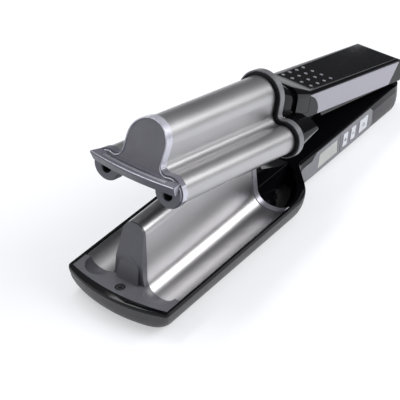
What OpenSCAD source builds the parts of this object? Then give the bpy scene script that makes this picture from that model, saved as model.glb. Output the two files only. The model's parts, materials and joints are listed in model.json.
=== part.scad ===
// Three-barrel hair waver: two hinged arms, a ridged wave plate below and a formed barrel shell above.
// Lengths run along X from the hinge pin (X = 0, nose at -X), Y is across, Z = 0 is the resting face.
// The upper arm is drawn shut, in line with the lower arm, and then opened about the hinge pin.

/* [Overall] */
// Hinge pin to the middle of the heat bowl
grip_len = 136.7; // [134:0.1:150]
// Width of the lower jaw across its rim
jaw_w = 70; // [68:0.5:76]
// Height of the lower rim above the resting face
rim_h = 17; // [16:0.5:22]
// Depth of the hinge pin below the rim
hinge_drop = 8.7; // [8:0.1:9.5]
// Opening angle of the upper arm at rest
open_angle = 13.7; // [6:0.1:18]

/* [Lower jaw casing] */
// Radius of the bowed front edge
nose_r = 87.5; // [80:0.5:110]
// Corner radius at the rim
corner_r = 3; // [2:0.5:5]
// How far the jaw casing draws in between rim and base
belly_in = 9; // [6:0.5:10]
// How far the handle casing draws in between rim and base
handle_in = 5; // [3:0.5:6]
// Wall of the casing
wall = 2; // [1.6:0.1:2.4]
// Radius of the jaw's rear shoulders
shoulder_r = 22; // [18:0.5:26]
// Slope of the shoulders towards the handle
shoulder_a = 47; // [42:1:54]
// Thickness of the black rim frame
bezel_t = 2.2; // [1.8:0.1:2.8]
// Width of the rim frame along the sides
bezel_side = 1.8; // [1.5:0.1:2.4]
// Width of the rim frame at the middle of the nose
bezel_nose = 4.6; // [3.5:0.1:5.5]

/* [Barrels] */
// Distance of each lower barrel's axis from the jaw's edge
lobe_inset = 14.3; // [13.8:0.1:15]
// Height of the lower barrels' axes above the rim, arm shut
lobe_z = 5.6; // [5:0.1:6.5]
// Radius of the two lower barrels
lobe_r = 8.5; // [8:0.1:8.8]
// Height of the middle barrel's axis above the rim, arm shut
dome_z = 25.8; // [24:0.1:30]
// How far the middle barrel's side lies inside the lower barrels
waist_in = 0.5; // [0.2:0.1:0.8]
// Wall of the formed barrel shell
shell_t = 1.6; // [1.4:0.1:1.8]
// Radius of the hollows between middle and lower barrels
valley_r = 5; // [4:0.1:6]
// Rear end of the barrel shell, behind the wave plate
shell_over = 5; // [4.6:0.1:6]

/* [Wave plate] */
// Front corners of the rim to the plate's front edge
nose_len = 13.5; // [13:0.5:18]
// Length of the plate at its rim
plate_len = 99.5; // [85:0.5:110]
// Thickness of the formed sheet
plate_t = 1.5; // [1:0.1:1.6]
// Gap between a barrel cap and the trough, arm shut
jaw_gap = 1.6; // [1.2:0.1:2]
// Gap beside the ridge, arm shut
ridge_side_gap = 2.8; // [2.4:0.1:3.2]
// Gap over the ridge, arm shut
ridge_top_gap = 1.2; // [1.1:0.1:2]
// Width of the flat along the top of the ridge
ridge_flat = 1.6; // [1:0.1:3]
// Draft of the ridge's sides
ridge_draft = 6; // [4:0.5:8]
// Radius at the foot of the ridge
root_r = 9; // [8:0.1:9.6]
// Drop of the plate's side edges below the rim
edge_drop = 0.5; // [0.3:0.1:0.8]
// Length of the trim ring behind the plate
trim_len = 4; // [3:0.1:5]
// How far the trim ring stands proud of the plate
trim_proud = 0.5; // [0.3:0.1:0.6]

/* [Heat bowl] */
// Margin between the bowl's groove and the jaw's edge
bowl_margin = 3.4; // [3.2:0.1:3.6]
// Depth of the groove below the rim
bowl_depth = 9.5; // [8.5:0.1:10.5]
// Wall of the bowl
bowl_t = 1.4; // [1.2:0.1:1.8]

/* [Upper nose cap] */
// Front of the cap at the ledge, behind the front corners of the rim
cap_x = 9.6; // [9:0.1:10]
// Length of the cap from front to the end of its skirt
cap_len = 5.2; // [4.6:0.1:7]
// How far the cap stands out round the middle barrel
cap_rim = 1.2; // [1:0.1:1.4]
// How far the cap's skirt stands out round the lower barrels
lobe_rim = 0.7; // [0.6:0.1:0.9]
// Thickness of the cap's front wall
cap_face_t = 0.7; // [0.6:0.1:0.8]
// Depth of the recessed middle face
cap_recess = 0.4; // [0.3:0.1:0.5]
// Lean of the cap's face and of the ridge's end towards the hinge
nose_lean = 15; // [12:0.5:17]
// Underside of the cool-tip ledge above the rim
ledge_z0 = 7; // [6.8:0.1:8]
// Top of the cool-tip ledge above the rim
ledge_z1 = 12.8; // [12:0.1:14]
// How far the ledge reaches sideways past the lower barrels' axes
ledge_reach = 7.4; // [6.5:0.1:8]
// Front of the ledge at the middle, behind the front corners of the rim
ledge_x = 0.5; // [0:0.1:2]
// How far the ledge's ends lie behind its middle
ledge_bow = 3; // [2:0.1:4]
// Number of teeth on the grip strip
grip_teeth = 44; // [30:1:50]

/* [Flange and handles] */
// How far the heat flange stands out round the barrels
flange_over = 2.9; // [2.5:0.1:3.1]
// Length of the flange's bright band
flange_len = 4.4; // [3.5:0.1:5]
// Width of the lower handle
handle_w = 35; // [33:0.5:37]
// Height of the lower handle's top above the rim
deck_z = 4.2; // [3.8:0.1:4.4]
// Length of the casing behind the hinge pin
tail_len = 16.3; // [15.5:0.1:18]
// Rounding of the casing's tail
tail_r = 12; // [10:0.5:13]
// Width of the upper handle over its side strips
upper_w = 33.2; // [32:0.2:35]
// Slope of the upper handle towards the hinge
upper_slope = 1.85; // [1.6:0.05:2]
// Top of the upper handle at its front, above the rim
upper_top = 25.1; // [24:0.1:27]
// Underside of the side strips at their front, above the rim
upper_base = 9.3; // [9.2:0.1:10]
// Thickness of the side strips
strip_t = 1.3; // [1:0.1:1.6]
// Rounding of the upper handle's rear end
handle_tail_r = 9; // [6:0.5:10]
// Length of the neck between the flange and the upper handle
neck_len = 36; // [34:0.5:40]
// Top of the neck's collar above the rim
collar_top = 30.5; // [29:0.1:32]

/* [Controls] */
// Height of the display window
window_h = 9.4; // [8:0.1:10]
// Length of the display window
window_l = 21.7; // [19:0.1:22]
// Travel of each button
button_travel = 0.5; // [0.3:0.1:0.5]
// Play round each button
button_play = 0.25; // [0.2:0.05:0.35]
// Thickness of the control panel
panel_t = 1.3; // [1:0.1:1.5]

/* [Hinge and cord inlet] */
// Radius of the hinge pin
pin_r = 2; // [1.8:0.1:2.4]
// Radial play of the hinge pin in the knuckle
pin_play = 0.05; // [0.03:0.01:0.08]
// Radius of the knuckle
knuckle_r = 6; // [5.4:0.1:6]
// Half width of the knuckle over both ears
knuckle_half = 9; // [8.5:0.1:9.4]
// Wire radius of the hinge spring
wire_r = 0.6; // [0.4:0.05:0.7]
// Turns of the hinge spring
spring_turns = 4.5; // [3.5:1:4.5]
// Radius of the cord inlet's bore
inlet_r = 3; // [2.6:0.1:3.3]
// Radius of the swivel where it turns in its seat
swivel_r = 4.6; // [4.4:0.05:4.8]

/* [Hidden] */
$fn = 48;
eps = 0.01;
// Clearance between parts that are assembled and don't move
fit = 0.1;

// Colours
dark_satin = [0.34, 0.33, 0.36];
cap_grey = [0.36, 0.35, 0.40];
gloss_black = [0.05, 0.05, 0.06];
titanium = [0.60, 0.60, 0.61];
lilac = [0.66, 0.65, 0.70];
panel_grey = [0.50, 0.49, 0.52];
pale = [0.86, 0.86, 0.84];
steel = [0.70, 0.70, 0.72];

// Places along the arm
arm_len = nose_len + plate_len + trim_len + grip_len;
corner_x = -arm_len;
plate_x0 = corner_x + nose_len;
plate_x1 = plate_x0 + plate_len;
trim_x1 = plate_x1 + trim_len;
shell_x1 = plate_x1 + shell_over;
bowl_cx = trim_x1;
hinge_z = rim_h - hinge_drop;

// Barrel and ridge sections, measured above the rim
lobe_y = jaw_w / 2 - lobe_inset;
bowl_r = jaw_w / 2 - bowl_margin;
dome_r = lobe_y - lobe_r - waist_in;
channel_r = dome_r - shell_t;
ridge_half = channel_r - ridge_side_gap;
ridge_r = ridge_half - ridge_flat / 2;
ridge_top = dome_z + channel_r - ridge_top_gap;
trough_depth = lobe_r + lobe_rim + jaw_gap - lobe_z;
plate_half_w = jaw_w / 2 - max(bezel_side, wall) - 2 * fit;
trough_reach = plate_half_w - lobe_y;
trough_rise = trough_depth - edge_drop;
trough_r = (trough_reach * trough_reach + trough_rise * trough_rise) / (2 * trough_rise);
trough_cz = trough_r - trough_depth;
side_n = [cos(ridge_draft), sin(ridge_draft)];
side_m = [-sin(ridge_draft), cos(ridge_draft)];
crown_c = [ridge_half - ridge_r, ridge_top - ridge_r];
side_k = crown_c * side_n + ridge_r;
root_shift = side_k + root_r - [lobe_y, trough_cz] * side_n;
root_drop = sqrt(pow(trough_r - root_r, 2) - pow(root_shift, 2));
root_c = [lobe_y, trough_cz] + root_shift * side_n - root_drop * side_m;
// Half width of the ridge at a height above the rim
function ridge_at(z) = (side_k - z * side_n[1]) / side_n[0];

// Points on an arc about c, from angle a0 to a1 in n steps
function arc(c, r, a0, a1, n = 12) = [for (i = [0:n]) let (a = a0 + (a1 - a0) * i / n)
    [c[0] + r * cos(a), c[1] + r * sin(a)]];
function mirrored(points) = [for (i = [len(points) - 1:-1:0]) [-points[i][0], points[i][1]]];
function backwards(points) = [for (i = [len(points) - 1:-1:0]) points[i]];

// Wave plate: right half of its upper face from side edge to crown, moved d into the sheet
function plate_half(d) = let (
    a_edge = atan2(-edge_drop - trough_cz, trough_reach),
    a_root = atan2(root_c[1] - trough_cz, root_c[0] - lobe_y) )
    concat(arc([lobe_y, trough_cz], trough_r + d, a_edge, a_root, 14),
        arc(root_c, root_r + d, a_root, ridge_draft - 180, 8),
        arc(crown_c, ridge_r - d, ridge_draft, 90, 10));

// Barrel shell: right half of its outer face from the crown round the side barrel, the middle barrel
// grown by d and the side barrel by e
function barrel_half(d, e) = let (
    v = valley_r - (d + e) / 2,
    vy = dome_r + d + v,
    vz = lobe_z + sqrt(pow(lobe_r + e + v, 2) - pow(lobe_y - vy, 2)),
    a_valley = atan2(lobe_z - vz, lobe_y - vy) )
    concat(arc([0, dome_z], dome_r + d, 90, 0, 14),
        arc([vy, vz], v, 180, 360 + a_valley, 8),
        arc([lobe_y, lobe_z], lobe_r + e, 180 + a_valley, -180, 26));

module barrel_outline(d, e) { polygon(concat(barrel_half(d, e), mirrored(barrel_half(d, e)))); }
module barrel_fill(d) { barrel_outline(d, d); }

// Space between the barrels that takes the ridge
module channel(extra = 0) {
    side = [[dome_r + extra, -60], [dome_r + extra, lobe_z]];
    half = concat(side, arc([0, dome_z], channel_r + extra, 0, 90, 14));
    polygon(concat(half, mirrored(half)));
}

// Carries a section drawn in Y and Z from x0 to x1
module along_x(x0, x1) { translate([x0, 0, 0]) rotate([90, 0, 90]) linear_extrude(x1 - x0) children(); }

// Carries an outline drawn in X and Z over a width centred on y
module across_y(w, y = 0) { translate([0, y + w / 2, 0]) rotate([90, 0, 0]) linear_extrude(w) children(); }

module at_rim() { translate([0, 0, rim_h]) children(); }

module opened() {
    translate([0, 0, hinge_z]) rotate([0, open_angle, 0]) translate([0, 0, -hinge_z])
        translate([0, 0, rim_h]) children();
}

// The upper handle's own frame: it falls towards the hinge
shield_x0 = shell_x1 + fit;
shield_x1 = shell_x1 + 3.2;
handle_x0 = shield_x1 + neck_len;
module handle_frame() { translate([handle_x0, 0, 0]) rotate([0, upper_slope, 0]) children(); }
function handle_u(x) = x - handle_x0;

// ---- Plan of the lower casing ----
shoulder_x = trim_x1 + 7;
cove_r = 6;
nose_sag_centre = corner_x + sqrt(nose_r * nose_r - pow(jaw_w / 2, 2));

// Half of the plan, drawn in by dj round the jaw and dh round the handle, from nose to tail
function plan_half(dj, dh) = let (
    r = nose_r - 0.85 * dj,
    rc = corner_r + 1.3 * dj,
    cy = jaw_w / 2 - dj - rc,
    cx = nose_sag_centre - sqrt(pow(r - rc, 2) - cy * cy),
    a0 = atan2(cy, cx - nose_sag_centre),
    n = [sin(shoulder_a), cos(shoulder_a)],
    u = [cos(shoulder_a), -sin(shoulder_a)],
    p1 = [shoulder_x, jaw_w / 2 - shoulder_r] + (shoulder_r - dj) * n,
    hw = handle_w / 2 - dh,
    s = (p1[1] + cove_r * n[1] - hw - cove_r) / sin(shoulder_a),
    c = p1 + s * u + cove_r * n )
    concat(arc([nose_sag_centre, 0], r, 180, a0, 10),
        arc([cx, cy], rc, a0 - (a0 - 90) / 6, 90, 5),
        arc([shoulder_x, jaw_w / 2 - shoulder_r], shoulder_r - dj, 90, 90 - shoulder_a, 10),
        arc(c, cove_r, 270 - shoulder_a, 270, 6),
        arc([tail_len - tail_r, hw + dh - tail_r], tail_r - dh, 90, 0, 8));
function plan(dj, dh) = let (h = plan_half(dj, dh))
    concat(h, [for (i = [len(h) - 1:-1:1]) [h[i][0], -h[i][1]]]);

// Solid through a stack of plans, each given as [height, jaw inset, handle inset]
module plan_stack(levels) {
    n = len(plan(0, 0));
    m = len(levels);
    points = [for (l = levels) for (p = plan(l[1], l[2])) [p[0], p[1], l[0]]];
    sides = [for (k = [0:m - 2]) for (i = [0:n - 1]) let (j = (i + 1) % n)
        each [[k * n + i, (k + 1) * n + j, (k + 1) * n + i], [k * n + i, k * n + j, (k + 1) * n + j]]];
    base = [for (i = [n - 1:-1:0]) i];
    top = [for (i = [0:n - 1]) (m - 1) * n + i];
    polyhedron(points = points, faces = concat([base], sides, [top]), convexity = 8);
}

// Draw-in of the casing at a share t of its depth
function draw_in(depth, t, p) = depth * (1 - pow(1 - pow(t, p), 1 / p));
casing_h = rim_h - bezel_t;
casing_steps = [1, 0.97, 0.9, 0.78, 0.6, 0.35, 0];

module casing(inset, floor_z) {
    levels = [for (t = casing_steps) [casing_h + (floor_z - casing_h) * t,
        inset + draw_in(belly_in, t, 1.7), inset + draw_in(handle_in, t, 3)]];
    plan_stack(concat(levels, inset > 0 ? [[casing_h + 1, inset, inset]] : []));
}

// ---- Control panel outline, drawn in X and Z above the rim ----
// Distance from the bowl's middle to the front of the handle's cover
deck_gap = 22;
panel_y = -handle_w / 2;
deck_x0 = bowl_cx + deck_gap;
panel_x0 = deck_x0 + 13;
panel_step_x = panel_x0 + 16.7;
panel_low = 1.8;
panel_high = 1.7;
panel_base = 13.5;
slant = 1.4;
window_x = panel_step_x + 1.5;
window_z = -1.6;
window_x1 = window_x + window_l;
divider_x = window_x1 + 2.3;
key_l = 5.1;
key_gap = 3.8;
power_key_l = 9.4;
first_key_x = divider_x + 4;
second_key_x = first_key_x + key_l + key_gap;
power_key_x = second_key_x + key_l + key_gap + 0.8;
panel_x1 = power_key_x + power_key_l + 5.5;
module panel_outline(grow = 0) {
    offset_lo = panel_x0 - grow;
    polygon([[offset_lo, -panel_low - 1.5 - grow], [offset_lo + 1.5, -panel_low + grow],
        [panel_step_x - 5, -panel_low + grow], [panel_step_x, panel_high + grow],
        [panel_x1 - 3, panel_high + grow], [panel_x1 + grow, panel_high - 3],
        [panel_x1 + grow, -panel_base + 3], [panel_x1 - 3, -panel_base - grow],
        [panel_step_x - 8, -panel_base - grow], [offset_lo + 1, -panel_base + 3]]);
}

// Slanted outline of a key or of the window: left and right edges at the top, top height, height
module slanted(x0, x1, z1, h, grow = 0) {
    polygon([[x0 - grow, z1 + grow], [x1 + grow, z1 + grow],
        [x1 + grow - slant, z1 - h - grow], [x0 - grow - slant, z1 - h - grow]]);
}
keys = [[first_key_x, first_key_x + key_l], [second_key_x, second_key_x + key_l],
    [power_key_x, power_key_x + power_key_l]];
key_top = -1.6;
key_h = 8.4;
module key_outline(i, grow = 0) { slanted(keys[i][0], keys[i][1], key_top, key_h, grow); }
// How far a key's lip reaches behind the panel, and the room round it
key_lip = 0.6;
lip_room = 0.4;
// Opening in the casing behind the panel for the keys and the display module
module key_aperture() {
    at_rim() across_y(8, panel_y) slanted(window_x + lip_room, keys[2][1] + key_lip + 2 * lip_room,
        key_top + key_lip + lip_room, window_h + 2);
}
module window_outline(grow = 0) {
    polygon([[window_x + 2 - grow, window_z + grow], [window_x1 + grow, window_z + grow],
        [window_x1 + grow, window_z - window_h - grow], [window_x - grow, window_z - window_h - grow]]);
}

// ---- Lower arm ----
floor_top = wall;
screw_r = 1.5;
screw_head_r = 2.8;
boss_r = 3.5;
// Bore for a screw's shank
pilot_r = screw_r + 0.05;
screw_sites = [[plate_x0 + 14, 11], [plate_x0 + 14, -11], [plate_x1 - 16, 11], [plate_x1 - 16, -11],
    [panel_x0 + 9.7, 5], [panel_x1 - 14, 5]];
heater_t = 3;
tray_t = 1.3;
heater_top = rim_h - trough_depth - plate_t - 2 * fit;
tray_z = heater_top - heater_t - fit - tray_t;
boss_top = tray_z - fit;
nose_deck = -0.4;
nose_base = -8.5;
nose_screw_x = corner_x + 3;
// Seat of the nose screw's head below the nose's deck
nose_sink = 1.8;
board_t = 1.2;
board_y = panel_y + panel_t + 4.6;
board_lift = 0.6;
swivel_z = (floor_top + casing_h) / 2;
seat_r = swivel_r + 1.4;
knuckle_slot = knuckle_half + 0.5;

module lower_housing() {
    color(dark_satin) difference() {
        union() {
            difference() {
                casing(0, 0);
                casing(wall, floor_top);
            }
            for (s = screw_sites) translate([s[0], s[1], wall / 2])
                cylinder(h = boss_top - wall / 2, r = boss_r);
            translate([nose_screw_x, 0, wall + 1]) cylinder(h = rim_h + nose_base - fit - wall - 1, r = boss_r);
        }
        translate([nose_screw_x, 0, wall + 2]) cylinder(h = rim_h, r = pilot_r);
        at_rim() across_y(4, panel_y - 2 + panel_t + fit) panel_outline(fit);
        key_aperture();
        for (s = screw_sites) translate([s[0], s[1], -1]) {
            cylinder(h = 12, r = pilot_r);
            cylinder(h = 1 + wall, r = screw_head_r + 0.2);
        }
        translate([tail_len - wall - 6, 0, swivel_z]) rotate([0, 90, 0]) cylinder(h = 12, r = seat_r + 0.05);
    }
}

// Inner edge of the rim frame: bowed at the nose, straight at the sides
inner_half = jaw_w / 2 - bezel_side;
bezel_apex = nose_sag_centre - nose_r + bezel_nose;
bezel_end = corner_x + 2;
bezel_r = (pow(inner_half, 2) + pow(bezel_end - bezel_apex, 2)) / (2 * (bezel_end - bezel_apex));
bezel_a = asin(inner_half / bezel_r);
module jaw_opening(grow, x_end) {
    polygon(concat(arc([bezel_apex + bezel_r, 0], bezel_r + grow, 180 + bezel_a, 180 - bezel_a, 16),
        [[x_end, inner_half + grow], [x_end, -inner_half - grow]]));
}
module bowl_opening(grow) { translate([bowl_cx, 0]) circle(r = bowl_r + bowl_lip + grow, $fn = 96); }
bowl_lip = 1.2;

module lower_bezel() {
    color(gloss_black) difference() {
        translate([0, 0, casing_h]) plan_stack([[0, 0, 0], [bezel_t - 0.5, 0, 0], [bezel_t - 0.15, 0.15, 0.15],
            [bezel_t, 0.5, 0.5]]);
        translate([0, 0, casing_h - 1]) linear_extrude(bezel_t + 2) {
            jaw_opening(0, bowl_cx);
            bowl_opening(fit);
            translate([deck_x0, -60]) square([400, 120]);
        }
    }
}

// Outline of the handle's top cover seen from the side: it rises behind the jaw and falls at the tail
module deck_side() {
    polygon([[deck_x0 + fit, casing_h], [deck_x0 + fit, rim_h], [deck_x0 + 13, rim_h + deck_z],
        [-6, rim_h + deck_z], [tail_len + 1, rim_h], [tail_len + 1, casing_h]]);
}
module lower_deck() {
    color(gloss_black) difference() {
        intersection() {
            translate([0, 0, casing_h]) plan_stack([[0, 0, 0], [bezel_t + deck_z - 1.6, 0.2, 0.2],
                [bezel_t + deck_z - 0.5, 0.9, 0.9], [bezel_t + deck_z, 2.2, 2.2]]);
            across_y(80) deck_side();
        }
        translate([0, 0, casing_h - 1]) linear_extrude(20) bowl_opening(fit);
        intersection() {
            translate([0, 0, casing_h - 1]) linear_extrude(rim_h + deck_z - casing_h - 1)
                polygon(plan(wall, wall));
            translate([deck_x0 + 14, -60, casing_h - 2]) cube([-16 - deck_x0 - 14, 120, 40]);
        }
        translate([-14, -knuckle_slot, casing_h - 1]) cube([27, 2 * knuckle_slot, 20]);
        at_rim() across_y(4, panel_y - 2 + panel_t + fit) panel_outline(fit);
        key_aperture();
    }
}

// The upper cap's face and the ridge's end lean back alike, so that the cap swings clear of the ridge
cap_in = cap_x + cap_recess + cap_face_t;
function lean(z) = max(0, z - ledge_z1) * tan(nose_lean);
// Region between two leaning planes that cross the ledge's top at x0 and x1, drawn in X and Z
module lean_slab(x0, x1) {
    polygon([[x0, -60], [x0, ledge_z1], [x0 + lean(60), 60],
        [x1 + lean(60), 60], [x1, ledge_z1], [x1, -60]]);
}
nose_clear = 0.4;
finger_foot = corner_x + cap_in + nose_clear;
finger_top = finger_foot + lean(ridge_top);
seam_top = finger_top + 1.2;
wedge_top = 15.6;
wedge_half = ridge_half - 0.2;
wedge_foot = corner_x + 8.7;
module seam_side(x_end) {
    polygon([[plate_x0, -30], [plate_x0, -trough_depth], [seam_top, ridge_top + 1], [x_end, ridge_top + 1],
        [x_end, -30]]);
}

// Section of the formed sheet, standing proud by p, with upright side edges
module sheet_section(p) {
    outer = plate_half(-p);
    inner = plate_half(plate_t);
    intersection() {
        polygon(concat(outer, mirrored(outer), backwards(mirrored(inner)), backwards(inner)));
        translate([-plate_half_w, -rim_h]) square([2 * plate_half_w, 4 * rim_h]);
    }
}

module wave_plate() {
    color(titanium) at_rim() intersection() {
        along_x(plate_x0 - 1, plate_x1) sheet_section(0);
        translate([fit / 2, 0, 0]) across_y(jaw_w + 4) seam_side(plate_x1 + 1);
    }
}

module plate_trim_ring() { color(lilac) at_rim() along_x(plate_x1, trim_x1 - fit) sheet_section(trim_proud); }

// Section of the bowl's groove: a round trough between the ridge's tail and the rim
groove_r = bowl_r - lobe_y + 0.1;
groove_z = groove_r - bowl_depth;
tail_side = 2.7;
module bowl_section() {
    difference() {
        union() {
            translate([lobe_y, groove_z]) circle(r = groove_r + bowl_t, $fn = 96);
            translate([lobe_y, -bezel_t]) square([bowl_r + bowl_lip - lobe_y, bezel_t - 0.1]);
            translate([0, -bowl_depth]) square([lobe_y, bowl_depth + groove_z]);
        }
        translate([lobe_y, groove_z]) circle(r = groove_r, $fn = 96);
        translate([-60, -60]) square([60, 120]);
        translate([-60, groove_z]) square([60 + lobe_y - groove_r + eps, 60]);
        translate([lobe_y - groove_r, -0.1]) square([60, 60]);
        translate([bowl_r + bowl_lip, -60]) square([60, 120]);
    }
}
tail_foot = bowl_cx + bowl_r + bowl_lip - fit;
module ridge_outline() {
    half = concat([[ridge_at(-bowl_depth), -bowl_depth]], arc(crown_c, ridge_r, ridge_draft, 90, 10));
    polygon(concat(half, mirrored(half)));
}
module heat_bowl() {
    color(gloss_black) at_rim() union() {
        translate([bowl_cx, 0, 0]) rotate([0, 0, -90]) rotate_extrude(angle = 180, $fn = 120) bowl_section();
        intersection() {
            across_y(jaw_w) polygon([[bowl_cx, -bowl_depth], [bowl_cx, ridge_top - 0.6],
                [bowl_cx + 5.5, 13], [deck_x0, 5.5], [tail_foot - 1.5, deck_z - 0.7],
                [tail_foot - 1.5, -bezel_t], [bowl_cx + bowl_r - 1, -bowl_depth]]);
            along_x(bowl_cx, tail_foot) ridge_outline();
        }
        across_y(2 * ridge_at(tail_side) + 0.6) polygon([[bowl_cx, -bowl_depth], [bowl_cx, tail_side],
            [bowl_cx + bowl_r - 1, tail_side], [bowl_cx + bowl_r - 1, -bowl_depth]]);
    }
}

dimple_r = lobe_r + lobe_rim + jaw_gap;
dimple_x = corner_x + cap_x + 1.9;
module nose_cap() {
    foot = [for (p = plate_half(0)) if (p[0] <= lobe_y) p];
    color(cap_grey) at_rim() difference() {
        union() {
            translate([0, 0, -bezel_t]) linear_extrude(bezel_t + nose_deck)
                jaw_opening(-2 * fit, plate_x0 - fit);
            translate([0, 0, nose_base]) linear_extrude(-nose_base - bezel_t + eps) intersection() {
                jaw_opening(-2 * fit, plate_x0 - fit);
                polygon(plan(wall + 3, wall + 3));
            }
            intersection() {
                along_x(finger_foot - 2, seam_top + 1) polygon(concat([[lobe_y, nose_base]], foot,
                    mirrored(foot), [[-lobe_y, nose_base]]));
                across_y(jaw_w) polygon([[finger_foot, nose_base], [finger_foot, ledge_z1],
                    [finger_top, ridge_top], [finger_top + eps, ridge_top + 1],
                    [seam_top - fit / 2, ridge_top + 1],
                    [plate_x0 - fit, -trough_depth], [plate_x0 - fit, nose_base]]);
            }
            intersection() {
                along_x(wedge_foot - 1, finger_foot + 1.5) polygon(concat([[wedge_half, nose_base]],
                    arc([0, wedge_top - wedge_half], wedge_half, 0, 180, 20), [[-wedge_half, nose_base]]));
                across_y(2 * wedge_half + 2) polygon([[wedge_foot, nose_base], [wedge_foot, nose_deck],
                    [finger_foot + 0.7, wedge_top], [finger_foot + 1.5, wedge_top + 1],
                    [finger_foot + 1.5, nose_base]]);
            }
        }
        for (s = [-1, 1]) {
            translate([dimple_x, s * lobe_y, lobe_z]) sphere(r = dimple_r, $fn = 64);
            translate([dimple_x, s * lobe_y, lobe_z]) rotate([0, 90, 0])
                cylinder(h = 20, r = dimple_r, $fn = 64);
        }
        translate([nose_screw_x, 0, nose_deck - nose_sink]) cylinder(h = 5, r = screw_head_r + 0.2);
        translate([nose_screw_x, 0, nose_base - 1]) cylinder(h = 12, r = pilot_r);
    }
}

// Screw standing on its tip at the origin's plane: shank, then a domed head with a cross slot
module screw(length, head_h = 1.3) {
    difference() {
        union() {
            cylinder(h = length, r = screw_r);
            translate([0, 0, length]) cylinder(h = head_h, r1 = screw_head_r, r2 = screw_head_r - 0.5);
        }
        for (a = [0, 90]) translate([0, 0, length + head_h]) rotate([0, 0, a])
            cube([3, 0.7, 1.4], center = true);
    }
}

module nose_screw() {
    length = nose_deck - nose_sink - nose_base + 3;
    color(steel) at_rim() translate([nose_screw_x, 0, nose_deck - nose_sink - length + fit / 2])
        screw(length);
}

module housing_screws() {
    color(steel) for (s = screw_sites) translate([s[0], s[1], wall - fit / 2]) rotate([180, 0, 0])
        translate([0, 0, -boss_top + wall + 0.4]) screw(boss_top - wall - 0.4);
}

// Margin between a heater and the plate's ends, and the heaters' sections
heater_end = 6;
ridge_heater_h = 15;
ridge_heater_top = ridge_top - ridge_r - 0.5;
trough_heater_w = 11;
module ridge_heater() {
    half = ridge_half - plate_t - 2 * fit;
    color(steel) at_rim() translate([plate_x0 + heater_end + lean(ridge_heater_top), -half,
        ridge_heater_top - ridge_heater_h])
        cube([plate_len - 2 * heater_end - lean(ridge_heater_top), 2 * half, ridge_heater_h]);
}

module plate_thermostat() {
    h = 4;
    color(gloss_black) at_rim() translate([plate_x0 + plate_len / 2, 0,
        ridge_heater_top - ridge_heater_h - 2 * fit - h]) cylinder(h = h, r = ridge_half - plate_t - 1.2);
}

module trough_heaters() {
    color(steel) for (s = [-1, 1]) translate([plate_x0 + heater_end, s * lobe_y - trough_heater_w / 2,
        heater_top - heater_t]) cube([plate_len - 2 * heater_end, trough_heater_w, heater_t]);
}

module heater_tray() {
    half = jaw_w / 2 - belly_in - wall;
    color(pale) translate([plate_x0 + heater_end - 1, -half, tray_z])
        cube([plate_len - 2 * heater_end + 2, 2 * half, tray_t]);
}

module control_panel() {
    color(panel_grey) at_rim() difference() {
        across_y(panel_t, panel_y + panel_t / 2) panel_outline();
        across_y(4, panel_y) for (i = [0:2]) key_outline(i, button_play);
        across_y(1.8, panel_y) window_outline(fit);
        across_y(4, panel_y) window_outline(-1);
        across_y(0.6, panel_y) translate([divider_x, -panel_base + 1])
            square([0.7, panel_base + panel_high - 2]);
    }
}

module display_window() {
    color(pale) at_rim() across_y(0.8, panel_y + 0.4 + 0.05) window_outline();
}

module display_module() {
    color(gloss_black) at_rim() translate([window_x + 1, panel_y + 2, window_z - window_h])
        cube([window_l - 2, board_y - panel_y - 2 - fit, window_h - 1]);
}

module button(i) {
    color(pale) at_rim() {
        across_y(2.4, panel_y + 0.8) key_outline(i);
        across_y(1, panel_y + panel_t + fit + 0.5) key_outline(i, key_lip);
    }
}
module button_plus() { button(0); }
module button_minus() { button(1); }
module button_power() { button(2); }

module button_switches() {
    face = panel_y + panel_t + fit + 1 + button_travel + fit;
    color(gloss_black) at_rim() for (k = keys)
        translate([(k[0] + k[1] - slant) / 2 - 2, face, key_top - key_h / 2 - 2])
            cube([4, board_y - face - fit, 4]);
}

module circuit_board() {
    x0 = panel_step_x - 2.7;
    x1 = min(panel_x1 - 4, cheek_front - 2);
    color([0.10, 0.35, 0.20]) translate([x0, board_y, floor_top + board_lift])
        cube([x1 - x0, board_t, rim_h - floor_top - board_lift]);
}

// ---- Hinge ----
cheek_y = knuckle_half + 2 * fit;
cheek_t = 1.6;
cheek_front = -14;
module hinge_bracket() {
    color(steel) difference() {
        union() {
            for (s = [-1, 1]) across_y(cheek_t, s * (cheek_y + cheek_t / 2)) polygon(concat(
                [[cheek_front, wall + fit], [0, wall + fit]],
                arc([0, hinge_z], knuckle_r, -90, 90, 16), [[cheek_front + 4, hinge_z + knuckle_r],
                [cheek_front, hinge_z]]));
            translate([cheek_front, -cheek_y - eps, wall + fit])
                cube([-knuckle_r - 1.2 - cheek_front, 2 * cheek_y + 2 * eps,
                    hinge_z - coil_r - wire_r - wall - 3 * fit]);
        }
        translate([0, 30, hinge_z]) rotate([90, 0, 0]) cylinder(h = 60, r = pin_r + 0.03);
    }
}

pin_half = cheek_y + cheek_t + 1.6;
module hinge_pin() {
    color(steel) translate([0, pin_half, hinge_z]) rotate([90, 0, 0]) cylinder(h = 2 * pin_half, r = pin_r);
}

module pin_clips() {
    color(steel) for (s = [-1, 1]) translate([0, s * (cheek_y + cheek_t + 0.5) + 0.4, hinge_z])
        rotate([90, 0, 0]) difference() {
            cylinder(h = 0.8, r = pin_r + 2);
            translate([0, 0, -1]) cylinder(h = 3, r = pin_r + 0.03);
        }
}

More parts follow.
